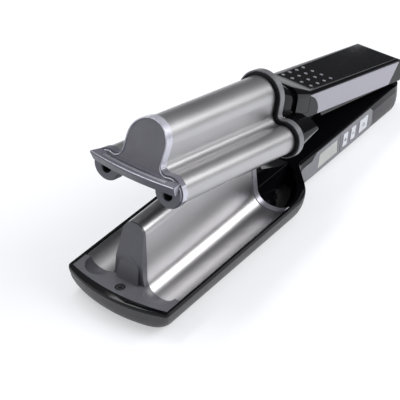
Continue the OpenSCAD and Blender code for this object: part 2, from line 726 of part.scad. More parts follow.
// Torsion spring round the pin: one tube along a lower leg, the coil and an upper leg
coil_r = pin_r + 0.3 + wire_r;
coil_half = 4.2;
leg = 10;
coil_steps = round(spring_turns * 14);
function coil_point(i) = let (a = -90 + 360 * spring_turns * i / coil_steps)
    [[coil_r * cos(a), coil_half - 2 * coil_half * i / coil_steps, hinge_z + coil_r * sin(a)],
        [cos(a), 0, sin(a)]];
function spring_path() = concat(
    [for (x = [-leg, -leg / 2]) [[x, coil_half, hinge_z - coil_r], [0, 0, -1]]],
    [for (i = [0:coil_steps]) coil_point(i)],
    [for (x = [-leg / 2, -leg]) [[x, -coil_half, hinge_z + coil_r], [0, 0, 1]]]);
spring_gap = 2 * coil_half / spring_turns - 2 * wire_r;
echo(least_gap_between_spring_turns = spring_gap);
module hinge_spring() {
    path = spring_path();
    sides = 6;
    n = len(path);
    points = [for (p = path) for (k = [0:sides - 1]) let (b = 360 * k / sides)
        p[0] + wire_r * (cos(b) * p[1] + sin(b) * [0, 1, 0])];
    walls = [for (i = [0:n - 2]) for (k = [0:sides - 1]) let (j = (k + 1) % sides)
        each [[i * sides + k, (i + 1) * sides + j, (i + 1) * sides + k],
            [i * sides + k, i * sides + j, (i + 1) * sides + j]]];
    color(steel) polyhedron(points = points, faces = concat([[for (k = [sides - 1:-1:0]) k]], walls,
        [[for (k = [0:sides - 1]) (n - 1) * sides + k]]), convexity = 6);
}

// ---- Cord inlet ----
seat_x0 = tail_len - 6.8;
seat_x1 = tail_len + 0.7;
module swivel_seat() {
    color(gloss_black) translate([0, 0, swivel_z]) rotate([0, 90, 0]) difference() {
        union() {
            translate([0, 0, seat_x0]) cylinder(h = seat_x1 - seat_x0, r = seat_r);
            translate([0, 0, tail_len + fit]) cylinder(h = seat_x1 - tail_len - fit, r = seat_r + 1);
        }
        translate([0, 0, seat_x0 - 1]) cylinder(h = 12, r = swivel_r + pin_play);
    }
}

module cord_swivel() {
    color(gloss_black) translate([0, 0, swivel_z]) rotate([0, 90, 0]) difference() {
        union() {
            translate([0, 0, seat_x0 - 1.6]) cylinder(h = 1.4, r = seat_r - 0.4);
            translate([0, 0, seat_x0 - 1]) cylinder(h = seat_x1 - seat_x0 + 3, r = swivel_r);
            translate([0, 0, seat_x1 + 0.2]) cylinder(h = 2.2, r = seat_r + 0.6);
            translate([0, 0, seat_x1 + 2.4]) cylinder(h = 6, r1 = seat_r + 0.6, r2 = inlet_r + 1.2);
        }
        translate([0, 0, seat_x0 - 3]) cylinder(h = 30, r = inlet_r);
    }
}

// ---- Upper arm ----
cap_face_x = corner_x + cap_x;
cap_in_x = corner_x + cap_in;
cap_end_x = cap_face_x + cap_len;
bore_r = lobe_r - shell_t;
cap_hole_r = 3.3;
cap_hole_z = lobe_z - 1.6;

module barrel_shell() {
    color(titanium) opened() difference() {
        intersection() {
            along_x(cap_in_x, shell_x1) difference() { barrel_fill(0); channel(); }
            across_y(jaw_w) lean_slab(cap_in_x + fit, shell_x1);
        }
        for (s = [-1, 1]) translate([cap_in_x - 1, s * lobe_y, lobe_z]) rotate([0, 90, 0])
            cylinder(h = shell_x1 - cap_in_x + 2, r = bore_r);
    }
}

ledge_half = lobe_y + ledge_reach;
ledge_rear = cap_face_x + 4;
ledge_undercut = 3.2;
module ledge_plan(inset) {
    r = (ledge_half * ledge_half + ledge_bow * ledge_bow) / (2 * ledge_bow);
    a = asin(ledge_half / r);
    x = corner_x + ledge_x;
    intersection() {
        polygon(concat(arc([x + r, 0], r - inset, 180 + a, 180 - a, 20), [[x + r, 0]]));
        translate([x - 1, -ledge_half]) square([ledge_rear - x + 1, 2 * ledge_half]);
    }
}

strip_x0 = corner_x + ledge_x + 2.6;
strip_x1 = strip_x0 + 4.4;
strip_half = lobe_y + 0.3;
strip_depth = 0.7;
face_rim = 0.5;
pocket_x = wedge_foot - 1.1;
pocket_top = wedge_top - 3.4;
module upper_nose_cap() {
    color(cap_grey) opened() difference() {
        union() {
            intersection() {
                union() {
                    along_x(cap_face_x, cap_in_x) barrel_outline(cap_rim, -0.2);
                    along_x(cap_in_x - eps, cap_end_x + lean(60)) barrel_outline(cap_rim, lobe_rim);
                }
                across_y(jaw_w) lean_slab(cap_face_x, cap_end_x);
            }
            hull() {
                translate([0, 0, ledge_z0]) linear_extrude(0.1) ledge_plan(ledge_undercut);
                translate([0, 0, ledge_z1 - 1]) linear_extrude(0.6) ledge_plan(0);
                translate([0, 0, ledge_z1 - 0.1]) linear_extrude(0.1) ledge_plan(0.4);
            }
        }
        intersection() {
            along_x(cap_in_x, cap_end_x + lean(60) + 1) barrel_fill(fit);
            across_y(jaw_w) lean_slab(cap_in_x, cap_end_x + 40);
        }
        intersection() {
            along_x(cap_face_x - 1, cap_end_x + 20) intersection() {
                barrel_outline(cap_rim - face_rim, -0.2 - face_rim);
                translate([-60, ledge_z1]) square(120);
            }
            across_y(jaw_w) lean_slab(cap_face_x - 1, cap_face_x + cap_recess);
        }
        grip_pocket(fit, 2);
        across_y(2 * wedge_half + 1.2) polygon([[pocket_x, ledge_z0 - 4], [pocket_x, pocket_top],
            [cap_in_x + 1, pocket_top], [cap_in_x + 1, ledge_z0 - 4]]);
        for (s = [-1, 1]) translate([cap_face_x - 1, s * lobe_y, cap_hole_z]) rotate([0, 90, 0])
            cylinder(h = 4, r = cap_hole_r);
    }
}

// Place of the grip strip on top of the ledge
module grip_pocket(grow, above) {
    r = pow(ledge_half, 2) / (2 * ledge_bow);
    translate([0, 0, ledge_z1 - strip_depth - (grow > 0 ? fit / 2 : 0)]) linear_extrude(strip_depth + above)
        intersection() {
            difference() {
                translate([strip_x0 + r, 0]) circle(r = r + grow, $fn = 360);
                translate([strip_x1 + r, 0]) circle(r = r - grow, $fn = 360);
            }
            translate([strip_x0 - 2, -strip_half - grow]) square([12, 2 * (strip_half + grow)]);
        }
}

module grip_strip() {
    pitch = 2 * strip_half / grip_teeth;
    color(cap_grey) opened() difference() {
        grip_pocket(0, -0.05);
        for (k = [0:grip_teeth]) translate([strip_x0 - 2, -strip_half + (k - 0.5) * pitch + pitch * 0.28,
            ledge_z1 - 0.4]) cube([12, pitch * 0.44, 2]);
    }
}

plug_x1 = cap_in_x + 9;
module barrel_end_plugs() {
    color(pale) opened() for (s = [-1, 1]) translate([0, s * lobe_y, 0]) rotate([0, 90, 0]) difference() {
        translate([-lobe_z, 0, cap_in_x + fit]) cylinder(h = plug_x1 - cap_in_x - fit, r = bore_r - fit);
        translate([-cap_hole_z, 0, cap_in_x - 1]) cylinder(h = 5, r = screw_head_r + 0.2);
        translate([-cap_hole_z, 0, cap_in_x]) cylinder(h = 20, r = pilot_r);
    }
}

module cap_screws() {
    color(steel) opened() for (s = [-1, 1]) translate([cap_in_x + 4 - fit / 2, s * lobe_y, cap_hole_z])
        rotate([0, -90, 0]) translate([0, 0, -6]) screw(6);
}

module barrel_heaters() {
    w = 10;
    h = 5;
    drop = sqrt(bore_r * bore_r - w * w / 4) - fit;
    color(steel) opened() for (s = [-1, 1])
        translate([plug_x1 + 3, s * lobe_y - w / 2, lobe_z - drop]) cube([shell_x1 - plug_x1 - 8, w, h]);
}

band_t = 0.8;
module heat_shield() {
    color(gloss_black) opened() along_x(shield_x0, shield_x1) difference() {
        barrel_fill(flange_over - band_t - fit);
        channel();
    }
}

module flange_band() {
    color(lilac) opened() along_x(shell_x1 + 1, shell_x1 + 1 + flange_len) difference() {
        barrel_fill(flange_over);
        barrel_fill(flange_over - band_t);
        channel();
    }
}

// Line of the side strips' lower edge, above the rim
function base_line(x) = upper_base - handle_u(x) * tan(upper_slope);
handle_x1 = 8;
neck_x0 = shield_x1 + fit;
neck_grow = flange_over - band_t - 2 * fit - 0.4;
strip_front = -8.4;
strip_end = handle_u(handle_x1) - 7;
strip_top = upper_top - 1.7;
module strip_outline(grow = 0) {
    polygon(concat([[strip_front - grow, strip_top + grow]], [for (p = arc([strip_front + 0.8, upper_base - 3],
        16.5, 76, 22, 8)) [p[0] - 4.5 - grow, p[1] + 0.4]], [[3.4 - grow, upper_base - grow],
        [strip_end - 8 + grow, upper_base - grow], [strip_end + grow, strip_top + grow]]));
}
module handle_section(half, base, top, r) {
    polygon(concat([[half, base]], arc([half - r, top - r], r, 0, 90, 6),
        arc([-half + r, top - r], r, 90, 180, 6), [[-half, base]]));
}

dot_pitch_x = 7.5;
dot_pitch_y = 6.6;
dot_r = 1.1;
module dot_field(r, h) {
    for (i = [0:3]) for (j = [-1.5:1.5]) translate([1 + i * dot_pitch_x, j * dot_pitch_y, upper_top - 0.6])
        cylinder(h = h, r = r, $fn = 24);
}

half_w = upper_w / 2;
// What the rounding of the handle's rear top edge takes away
module rear_corner(r) {
    u = handle_u(handle_x1);
    polygon(concat(arc([u - r, upper_top - r], r, 90, 0, 12),
        [[u + 2, upper_top - r], [u + 2, upper_top + 2], [u - r, upper_top + 2]]));
}
// Rounding of the handle's long top edges
top_round = 2.4;
// Neck between the flange and the handle: a waist, then a rounded collar that runs into the handle
collar_x = neck_x0 + 14;
collar_half = half_w - 0.15;
collar_base = lobe_z + lobe_r;
lug_x = neck_x0 + 21;
lug_base = lobe_z + 3;
module neck_side(s) {
    hull() {
        along_x(neck_x0, neck_x0 + 1) translate([s * lobe_y, lobe_z]) circle(r = lobe_r + neck_grow, $fn = 32);
        along_x(lug_x - 1, lug_x) polygon([[s * dome_r, lug_base], [s * (lobe_y + lobe_r), lug_base],
            [s * (lobe_y + lobe_r), lug_base + 1.2], [s * (lobe_y + 3.4), lug_base + 4.4],
            [s * dome_r, lug_base + 6.4]]);
    }
    hull() {
        along_x(lug_x - 1, lug_x) translate([s * (collar_half + dome_r) / 2, upper_base + 2])
            square([collar_half - dome_r, 4], center = true);
        handle_frame() along_x(-7, -6.5) translate([s * (collar_half + dome_r) / 2, upper_base + 2])
            square([collar_half - dome_r, 3], center = true);
    }
}
module upper_handle() {
    color(gloss_black) opened() difference() {
        union() {
            hull() {
                along_x(neck_x0, neck_x0 + 1) {
                    translate([0, dome_z]) circle(r = dome_r, $fn = 32);
                    translate([-dome_r, collar_base]) square([2 * dome_r, 6]);
                }
                along_x(collar_x - 1, collar_x)
                    handle_section(collar_half - 2, collar_base, collar_top - 2, 5);
            }
            hull() {
                along_x(collar_x, collar_x + 0.5)
                    handle_section(collar_half - fit, collar_base + 2, collar_top, 6);
                handle_frame() along_x(-6.5, -6) handle_section(collar_half - fit, upper_base + 2,
                    upper_top - fit, top_round);
            }
            for (s = [-1, 1]) neck_side(s);
            handle_frame() along_x(-8, handle_u(handle_x1))
                handle_section(collar_half, upper_base, upper_top, top_round);
        }
        across_y(2 * (channel_r + 0.2)) polygon([[neck_x0 - 1, -60], [neck_x0 - 1, ridge_top + ridge_top_gap],
            [neck_x0 + 2.5, 17], [deck_x0 + 2, 8.5], [deck_x0 + 14, deck_z + 2.4], [deck_x0 + 38, deck_z + 2.4],
            [deck_x0 + 38, -60]]);
        for (s = [-1, 1]) handle_frame() across_y(2 * (strip_t + fit), s * half_w) strip_outline(fit);
        handle_frame() translate([9, -half_w + 3.4, upper_base - 1])
            cube([handle_u(handle_x1) - 15, 2 * half_w - 6.8, upper_top - upper_base - 1.2]);
        handle_frame() across_y(2 * half_w + 2) rear_corner(handle_tail_r);
        handle_frame() dot_field(dot_r + 0.05, 4);
    }
}

module grip_dots() { color(lilac) opened() handle_frame() dot_field(dot_r, 0.9); }

module side_strip(s) {
    color(lilac) opened() handle_frame() across_y(strip_t, s * (half_w - strip_t / 2)) strip_outline();
}
module side_strip_left() { side_strip(1); }
module side_strip_right() { side_strip(-1); }

tang_x0 = -38;
inner_x0 = handle_x0 + 9;
inner_x1 = 1.2;
inner_base = deck_z + 1;
knuckle_screw_sites = [tang_x0 + 8, tang_x0 + 17];
knuckle_screw_r = 1.2;
// Width of each of the knuckle's two ears
ear_w = 3.4;
ear_y = knuckle_half - ear_w / 2;
module upper_inner_cover() {
    color(gloss_black) opened() difference() {
        across_y(2 * half_w - 3) polygon([[inner_x0, base_line(inner_x0) - fit], [inner_x0 + 3, inner_base],
            [inner_x1, inner_base], [inner_x1, base_line(inner_x1) - fit]]);
        for (s = [-1, 1]) translate([-10 - 2 * fit, s * ear_y - ear_w / 2 - fit, 0])
            cube([20, ear_w + 2 * fit, 20]);
        for (x = knuckle_screw_sites) translate([x, 0, inner_base - 1]) {
            cylinder(h = 2.1, r = 2.4);
            cylinder(h = 10, r = knuckle_screw_r + 0.05);
        }
    }
}

tang_t = 2.6;
module hinge_knuckle() {
    tang_z = upper_base + fit;
    color(steel) opened() difference() {
        union() {
            handle_frame() translate([handle_u(tang_x0), -knuckle_half, tang_z])
                cube([1 - tang_x0, 2 * knuckle_half, tang_t]);
            for (s = [-1, 1]) across_y(ear_w, s * ear_y) polygon(concat(
                arc([0, -hinge_drop], knuckle_r, -180, 0, 16),
                [[0.8, base_line(0) + 1], [-10, base_line(-10) + 1], [-9, -hinge_drop + coil_r + wire_r + 1]]));
            translate([-10, -knuckle_half, -hinge_drop + coil_r + wire_r + 0.15])
                cube([ear_w, 2 * knuckle_half, 3]);
        }
        translate([0, 30, -hinge_drop]) rotate([90, 0, 0]) cylinder(h = 60, r = pin_r + pin_play);
        for (x = knuckle_screw_sites) translate([x, 0, -5])
            cylinder(h = 30, r = knuckle_screw_r + 0.05);
    }
}

module knuckle_screws() {
    color(steel) opened() for (x = knuckle_screw_sites) translate([x, 0, inner_base + 0.1]) {
        cylinder(h = 0.95, r = 2.2);
        cylinder(h = base_line(x) - inner_base + tang_t, r = knuckle_screw_r);
    }
}

lower_housing();
lower_bezel();
lower_deck();
wave_plate();
plate_trim_ring();
heat_bowl();
nose_cap();
nose_screw();
ridge_heater();
trough_heaters();
heater_tray();
plate_thermostat();
control_panel();
display_window();
display_module();
button_plus();
button_minus();
button_power();
button_switches();
circuit_board();
hinge_bracket();
hinge_pin();
pin_clips();
hinge_spring();
housing_screws();
swivel_seat();
cord_swivel();
barrel_shell();
upper_nose_cap();
grip_strip();
barrel_end_plugs();
cap_screws();
barrel_heaters();
heat_shield();
flange_band();
upper_handle();
grip_dots();
side_strip_left();
side_strip_right();
upper_inner_cover();
hinge_knuckle();
knuckle_screws();
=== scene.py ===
"""Looks of a three-barrel hair waver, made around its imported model.

Sizes are millimetres in the model's own frame: X runs from the nose (-X) to the cord inlet (+X), with the
hinge pin at X = 0, Y is across, and Z = 0 is the resting face. Pieces of the upper arm are worked out shut,
in line with the lower arm and with Z measured from the rim, and are then opened about the hinge pin.
"""

import json
import math

import bmesh
import bpy
import numpy as np
from bpy.props import FloatProperty, FloatVectorProperty, PointerProperty
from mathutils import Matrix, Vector
from mathutils.geometry import tessellate_polygon


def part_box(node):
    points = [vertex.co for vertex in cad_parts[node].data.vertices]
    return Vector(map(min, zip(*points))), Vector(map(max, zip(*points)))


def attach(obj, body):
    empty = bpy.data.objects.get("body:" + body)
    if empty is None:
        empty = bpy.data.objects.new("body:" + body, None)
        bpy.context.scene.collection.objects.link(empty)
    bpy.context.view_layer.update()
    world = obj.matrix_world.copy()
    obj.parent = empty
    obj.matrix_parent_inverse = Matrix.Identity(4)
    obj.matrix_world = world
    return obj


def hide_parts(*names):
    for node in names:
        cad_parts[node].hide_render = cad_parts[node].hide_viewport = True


bl_info = {
    "name": "Hair Waver Looks",
    "version": (1, 0, 0),
    "blender": (4, 5, 0),
    "location": "View3D > Sidebar > Hair Waver",
    "description": "Finishes and fine forms of a three-barrel hair waver",
    "category": "Object",
}

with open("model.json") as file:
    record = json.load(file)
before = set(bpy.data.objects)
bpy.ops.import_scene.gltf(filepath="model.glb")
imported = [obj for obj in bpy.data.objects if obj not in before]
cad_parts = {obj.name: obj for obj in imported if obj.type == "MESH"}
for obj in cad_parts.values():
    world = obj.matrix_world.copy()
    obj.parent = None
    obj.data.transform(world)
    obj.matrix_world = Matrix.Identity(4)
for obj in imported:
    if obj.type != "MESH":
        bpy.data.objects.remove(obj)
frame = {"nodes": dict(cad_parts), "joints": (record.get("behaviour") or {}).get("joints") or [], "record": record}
MM = 0.001


# ---- Sizes taken from the frame ----
def span(node):
    """Lowest and highest corner of a CAD node, in millimetres."""
    low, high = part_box(node)
    return np.array(low) / MM, np.array(high) / MM


def slots():
    """The material slot of each CAD node."""
    return {part["node"]: part["material_slot"] for part in frame["record"]["subparts"]}


def joint(name):
    """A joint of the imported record."""
    return next(j for j in frame["joints"] if j["name"] == name)


# Sections of the arms, as the model is made from them: the side barrels' axes and radius
LOBE_Y, LOBE_Z, LOBE_R = 20.7, 5.6, 8.5
# Middle barrel, and the hollow between it and a side barrel
DOME_Z, DOME_R, VALLEY_R = 25.8, 11.7, 5.0
# How far the upper cap stands proud of the middle barrel and of the side barrels
CAP_RIM, LOBE_FRONT = 1.2, -0.2
# The cap's cool-tip ledge: its height, how far its front bows out, and half its width
LEDGE_TOP, LEDGE_BOW = 12.8, 3.0
LEDGE_HALF = LOBE_Y + 7.4
# Walls of the barrel shell and of the wave plate
SHELL_WALL, SHEET = 1.6, 1.5
# The wave plate's ridge with its drafted sides, and the troughs beside it
RIDGE_HALF, RIDGE_TOP, RIDGE_DRAFT = 7.3, 34.7, 6.0
CROWN_R, FOOT_R, TROUGH_DEPTH, EDGE_DROP = 6.5, 9.0, 5.2, 0.5
# Lean of both nose faces, and the thumb wedge of the lower nose
CAP_LEAN = math.radians(15)
WEDGE_HALF, WEDGE_TOP, NOSE_DECK = 7.1, 15.6, -0.4

HINGE_Z = joint("jaw_hinge")["pos_m"][2] / MM
OPEN_ANGLE = math.radians(-joint("jaw_hinge")["range_deg"][0])
RIM_Z = span("lower_bezel")[1][2]
PLATE_HALF = span("wave_plate")[1][1]

# Places along the arms, from the nose's corners to the end of the barrels
CORNER_X = -253.7
CAP_X = CORNER_X + 9.6
LEDGE_X = CORNER_X + 0.5
LEDGE_REAR = CAP_X + 4
WEDGE_FOOT = CORNER_X + 8.7
FINGER_FOOT = CAP_X + 1.5
SEAM, SEAM_RISE = 0.1, RIDGE_TOP + 1 + TROUGH_DEPTH
SEAM_TOP = FINGER_FOOT + (RIDGE_TOP - LEDGE_TOP) * math.tan(CAP_LEAN) + 1.2
PLATE_X0, PLATE_X1 = CORNER_X + 13.5, CORNER_X + 113.0
SHELL_FRONT, SHELL_END = CAP_X + 1.2, PLATE_X1 + 5

# Limits of the mesh clean-up: corners this close are one, edges this short go, faces this level are one flat
# face, and edges sharper than this stay sharp
SAME_POINT, SLIVER = 2e-6, 1e-6
LEVEL, SHARP = math.radians(0.1), math.radians(30)

# Camera fitted to the photograph's straight and parallel edges
IMAGE_PX, FOCAL_PX, SENSOR = 400, 1599.128, 36.0
CAMERA_PLACE = (-0.75141, -0.43368, 0.58161)
CAMERA_DOWN, CAMERA_TURN = math.radians(37.41), math.radians(37.14)

# Soft boxes: name, place, width, height and power, all aimed at the middle of the tool
LIT_POINT = (-0.14, 0, 0.03)
SOFTBOXES = (
    ("softbox_right", (0.42, -0.85, 0.80), 1.2, 0.75, 14),
    ("softbox_top", (-0.15, 0.55, 1.25), 1.1, 0.30, 7),
    ("softbox_left", (-1.10, 0.75, 0.45), 0.5, 0.5, 2.5),
)
# The world's light: its strength low down and overhead, and between which heights it rises
SKY_COLOUR, SKY_LOW, SKY_HIGH, SKY_RISE = (0.97, 0.98, 1.0), 0.10, 0.55, (0.2, 0.9)


# ---- Points and outlines ----
def arc(centre, radius, start, end, steps=24):
    """Points on a circle about centre, from angle start to angle end in degrees."""
    a = np.radians(np.linspace(start, end, steps + 1))
    return np.column_stack([centre[0] + radius * np.cos(a), centre[1] + radius * np.sin(a)])


def mirrored(points):
    """The outline's other half: the same points in reverse order, with Y turned over."""
    return points[::-1] * [-1, 1]


def opened(points):
    """Turns points of the shut upper arm about the hinge pin to where they rest."""
    x, y, z = points[..., 0], points[..., 1], points[..., 2] + RIM_Z - HINGE_Z
    c, s = math.cos(OPEN_ANGLE), math.sin(OPEN_ANGLE)
    return np.stack([x * c + z * s, y, z * c - x * s + HINGE_Z], axis=-1)


def at_rim(points):
    """Points measured from the rim, in the model's frame."""
    return points + [0, 0, RIM_Z]


def shut(point):
    """Turns a point (measured from the hinge pin) or a direction of the open upper arm back to shut."""
    c, s = math.cos(OPEN_ANGLE), math.sin(OPEN_ANGLE)
    return np.array([point[0] * c - point[2] * s, point[1], point[0] * s + point[2] * c])


def barrel_half(grow, lobe_grow):
    """Right half of the barrels' outline from the crown round the middle barrel, the hollow and the side
    barrel: three arcs that meet at a tangent."""
    valley = VALLEY_R - (grow + lobe_grow) / 2
    y = DOME_R + grow + valley
    z = LOBE_Z + math.sqrt((LOBE_R + lobe_grow + valley) ** 2 - (LOBE_Y - y) ** 2)
    turn = math.degrees(math.atan2(LOBE_Z - z, LOBE_Y - y))
    return np.concatenate([
        arc((0, DOME_Z), DOME_R + grow, 90, 0, 36),
        arc((y, z), valley, 180, 360 + turn, 20)[1:],
        arc((LOBE_Y, LOBE_Z), LOBE_R + lobe_grow, 180 + turn, -180, 48)[1:]])


def ridge_lines():
    """Centres and radii of the wave plate's arcs: trough, foot of the ridge and crown, tangent to each other.

    The foot's centre lies one foot radius off the ridge's drafted side and touches the trough from inside."""
    draft = math.radians(RIDGE_DRAFT)
    square_on = np.array([math.cos(draft), math.sin(draft)])
    along = np.array([-math.sin(draft), math.cos(draft)])
    crown = np.array([RIDGE_HALF - CROWN_R, RIDGE_TOP - CROWN_R])
    rise, reach = TROUGH_DEPTH - EDGE_DROP, PLATE_HALF - LOBE_Y
    trough_r = (reach ** 2 + rise ** 2) / (2 * rise)
    trough = np.array([LOBE_Y, trough_r - TROUGH_DEPTH])
    shift = crown @ square_on + CROWN_R + FOOT_R - trough @ square_on
    foot = trough + shift * square_on - math.sqrt((trough_r - FOOT_R) ** 2 - shift ** 2) * along
    return trough, trough_r, foot, crown


def plate_half(depth):
    """Right half of the formed sheet's section, moved depth into the sheet.

    Three arcs that meet at a tangent: along the trough from its side edge, round the ridge's foot, and over
    the ridge's crown to its middle."""
    trough, trough_r, foot, crown = ridge_lines()
    edge = math.degrees(math.atan2(-EDGE_DROP - trough[1], PLATE_HALF - LOBE_Y))
    root = math.degrees(math.atan2(foot[1] - trough[1], foot[0] - trough[0]))
    return np.concatenate([
        arc(trough, trough_r + depth, edge, root, 48),
        arc(foot, FOOT_R + depth, root, RIDGE_DRAFT - 180, 20)[1:],
        arc(crown, CROWN_R - depth, RIDGE_DRAFT, 90, 24)])


def carried(outline, front, rear, steps=10):
    """Rings of an outline in Y and Z carried along X, from each point's own front to a common rear."""
    share = np.linspace(0, 1, steps)[:, None]
    x = front + (rear - front) * share
    y, z = (np.broadcast_to(outline[:, axis], x.shape) for axis in (0, 1))
    return np.stack([x, y, z], axis=-1)


def drilled(outlines, rear, steps=10):
    """Points and faces of an outline carried along X with bores through it: a wall for each outline, and on
    each end a flat face that leaves the bores open."""
    walls = [carried(outline, front, rear, steps) for outline, front in outlines]
    starts = np.cumsum([0] + [wall.shape[0] * wall.shape[1] for wall in walls])
    faces = [[corner + start for corner in face]
             for wall, start in zip(walls, starts) for face in ring_faces(*wall.shape[:2], closed_ends=False)]
    first = np.concatenate([start + np.arange(wall.shape[1]) for wall, start in zip(walls, starts)])
    last = np.concatenate([start + np.arange(wall.shape[1]) + (steps - 1) * wall.shape[1]
                           for wall, start in zip(walls, starts)])
    flat = tessellate_polygon([[Vector((y, z, 0)) for y, z in outline] for outline, _ in outlines])
    for ends in (first, last):
        faces += [[int(ends[corner]) for corner in triangle] for triangle in flat]
    return np.concatenate([wall.reshape(-1, 3) for wall in walls]), faces


def tube(path, radius, sides=10):
    """Rings of a round bead: a circle of that radius square to the path at each of its points.

    across is any direction that the path doesn't run along."""
    across = [1.0, 0.2, 0.1]
    path = np.asarray(path, float)
    along = np.gradient(path, axis=0)
    along /= np.linalg.norm(along, axis=1)[:, None]
    side = np.cross(along, across)
    side /= np.linalg.norm(side, axis=1)[:, None]
    up = np.cross(along, side)
    a = np.linspace(0, 2 * math.pi, sides, endpoint=False)[None, :, None]
    return path[:, None, :] + radius * (np.cos(a) * side[:, None, :] + np.sin(a) * up[:, None, :])


# ---- Meshes ----
def new_piece(name, points, faces, body, slot, material, replaces=()):
    """Object with those points (in millimetres) and faces, riding on a body."""
    mesh = bpy.data.meshes.new(name)
    mesh.from_pydata((np.asarray(points, float).reshape(-1, 3) * MM).tolist(), [], faces)
    return finish_piece(name, mesh, body, material, replaces)


def finish_piece(name, mesh, body, material, replaces, bevel=0.0):
    """Object of a mesh with its doubles merged, its faces pointing outward and its sharp edges marked.

    It gets its material, its rounding (bevel, in metres) and the body that it rides on."""
    work = bmesh.new()
    work.from_mesh(mesh)
    bmesh.ops.remove_doubles(work, verts=work.verts, dist=SAME_POINT)
    bmesh.ops.dissolve_degenerate(work, edges=work.edges, dist=SLIVER)
    bmesh.ops.recalc_face_normals(work, faces=work.faces)
    for face in work.faces:
        face.smooth = True
    for edge in work.edges:
        edge.smooth = len(edge.link_faces) == 2 and edge.calc_face_angle(0) < SHARP
    work.to_mesh(mesh)
    work.free()
    piece = bpy.data.objects.new(name, mesh)
    bpy.context.scene.collection.objects.link(piece)
    mesh.materials.clear()
    mesh.materials.append(material)
    if bevel:
        rounding = piece.modifiers.new("rounded_edges", "BEVEL")
        rounding.width = bevel
        rounding.segments = 3
        rounding.limit_method = "ANGLE"
        rounding.angle_limit = SHARP
        rounding.harden_normals = True
        rounding.use_clamp_overlap = True
    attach(piece, body)
    if replaces:
        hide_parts(*replaces)
    return piece


def refined(node, material, bevel, second=None):
    """A CAD node's copy with merged corners, whole flat faces and rounded edges, which stands for it.

    second is a further material and the test of a face that takes it."""
    bodies = frame["record"]["behaviour"]["bodies"]
    body = next(name for name, nodes in bodies.items() if node in nodes)
    mesh = frame["nodes"][node].data.copy()
    work = bmesh.new()
    work.from_mesh(mesh)
    bmesh.ops.remove_doubles(work, verts=work.verts, dist=SAME_POINT)
    bmesh.ops.dissolve_limit(work, angle_limit=LEVEL, verts=work.verts, edges=work.edges)
    work.to_mesh(mesh)
    work.free()
    piece = finish_piece(node + "_finished", mesh, body, material, (node,), bevel)
    if second:
        other, takes_it = second
        piece.data.materials.append(other)
        for face in piece.data.polygons:
            face.material_index = int(takes_it(face))
    return piece


def ring_faces(rings, points, closed_ends=True):
    """Quads between closed rings of points, and a flat face on each end."""
    r = np.arange(rings - 1)[:, None] * points
    a = np.arange(points)[None, :]
    b = (a + 1) % points
    quads = np.stack([r + a, r + b, r + points + b, r + points + a], axis=-1).reshape(-1, 4).tolist()
    if closed_ends:
        quads.append(list(range(points))[::-1])
        quads.append(list(range((rings - 1) * points, rings * points)))
    return quads


def loft(name, rings, **options):
    """Closed skin through rings of points given as an array of rings by points by three."""
    rings = np.asarray(rings, float)
    return new_piece(name, rings, ring_faces(*rings.shape[:2]), **options)


# ---- Materials ----
def colour(values):
    """A colour with full opacity."""
    return (*values, 1.0)


class Finish:
    """A principled material whose patterns read object coordinates in metres."""

    def __init__(self, name, base, roughness, metallic=0.0, coat=0.0, coat_roughness=0.05, specular=0.5):
        """Principled shader with those constants on its sockets."""
        self.material = bpy.data.materials.new(name)
        self.material.use_nodes = True
        self.tree = self.material.node_tree
        self.shader = self.tree.nodes["Principled BSDF"]
        self.set("Base Color", colour(base))
        self.set("Roughness", roughness)
        self.set("Metallic", metallic)
        self.set("Coat Weight", coat)
        self.set("Coat Roughness", coat_roughness)
        self.set("Specular IOR Level", specular)
        self.where = self.add("ShaderNodeTexCoord").outputs["Object"]

    def set(self, socket, value):
        """Constant on one of the shader's sockets."""
        self.shader.inputs[socket].default_value = value

    def add(self, kind, **settings):
        """New node with those settings."""
        made = self.tree.nodes.new(kind)
        for key, value in settings.items():
            setattr(made, key, value)
        return made

    def link(self, source, target):
        """Joins two sockets."""
        self.tree.links.new(source, target)

    def noise(self, scale, stretch=(1, 1, 1), detail=3.0):
        """Noise with about `scale` cycles a metre, stretched along the axes."""
        mapping = self.add("ShaderNodeMapping")
        mapping.inputs["Scale"].default_value = stretch
        self.link(self.where, mapping.inputs["Vector"])
        made = self.add("ShaderNodeTexNoise")
        made.inputs["Scale"].default_value = scale
        made.inputs["Detail"].default_value = detail
        self.link(mapping.outputs["Vector"], made.inputs["Vector"])
        return made.outputs["Fac"]

    def spread(self, source, low, high):
        """Maps a noise's middle range to the numbers from low to high."""
        made = self.add("ShaderNodeMapRange")
        made.inputs["From Min"].default_value = 0.3
        made.inputs["From Max"].default_value = 0.7
        made.inputs["To Min"].default_value = low
        made.inputs["To Max"].default_value = high
        self.link(source, made.inputs["Value"])
        return made.outputs["Result"]

    def tint(self, source, first, second):
        """Base colour between two colours by a noise."""
        ramp = self.add("ShaderNodeValToRGB")
        ramp.color_ramp.elements[0].position = 0.3
        ramp.color_ramp.elements[0].color = colour(first)
        ramp.color_ramp.elements[1].position = 0.7
        ramp.color_ramp.elements[1].color = colour(second)
        self.link(source, ramp.inputs["Fac"])
        self.link(ramp.outputs["Color"], self.shader.inputs["Base Color"])

    def uneven(self, source, low, high):
        """Roughness between two values by a noise."""
        self.link(self.spread(source, low, high), self.shader.inputs["Roughness"])

    def relief(self, source, depth):
        """Bump of a depth in millimetres."""
        bump = self.add("ShaderNodeBump")
        bump.inputs["Strength"].default_value = 1.0
        bump.inputs["Distance"].default_value = depth * MM
        self.link(source, bump.inputs["Height"])
        self.link(bump.outputs["Normal"], self.shader.inputs["Normal"])


def varied(base, share):
    """Two shades a share darker and lighter than the base."""
    base = np.array(base)
    return tuple(base * (1 - share)), tuple(np.minimum(base * (1 + share), 1))


